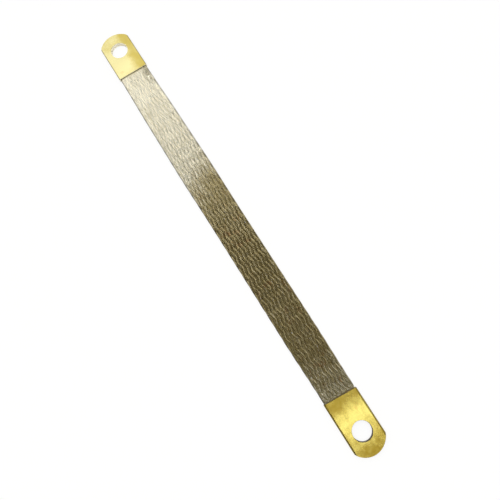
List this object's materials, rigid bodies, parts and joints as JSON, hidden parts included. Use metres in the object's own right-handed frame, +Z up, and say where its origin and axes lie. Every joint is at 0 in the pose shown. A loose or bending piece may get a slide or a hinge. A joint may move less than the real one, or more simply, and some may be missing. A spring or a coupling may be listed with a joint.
{
  "type": "flexible busbar braid",
  "caption": "Flat flexible strap of plaited tinned copper wire with a pressed, punched brass ferrule on each end.",
  "frame": {"origin": "on the surface that the strap lies on, under the middle of its overall length and width", "axes": "+X along the strap from the left ferrule to the right one, +Y across its width, +Z up through its thickness"},
  "size_m": [0.2192, 0.0154, 0.0022],
  "materials": {
    "tinned_copper_wire": "satin tinned wire, slightly tarnished",
    "ferrule_brass": "satin, pressed, slightly mottled"
  },
  "bodies": {
    "root": {"braid": "tinned_copper_wire", "left_ferrule": "ferrule_brass", "right_ferrule": "ferrule_brass"}
  },
  "joints": []
}
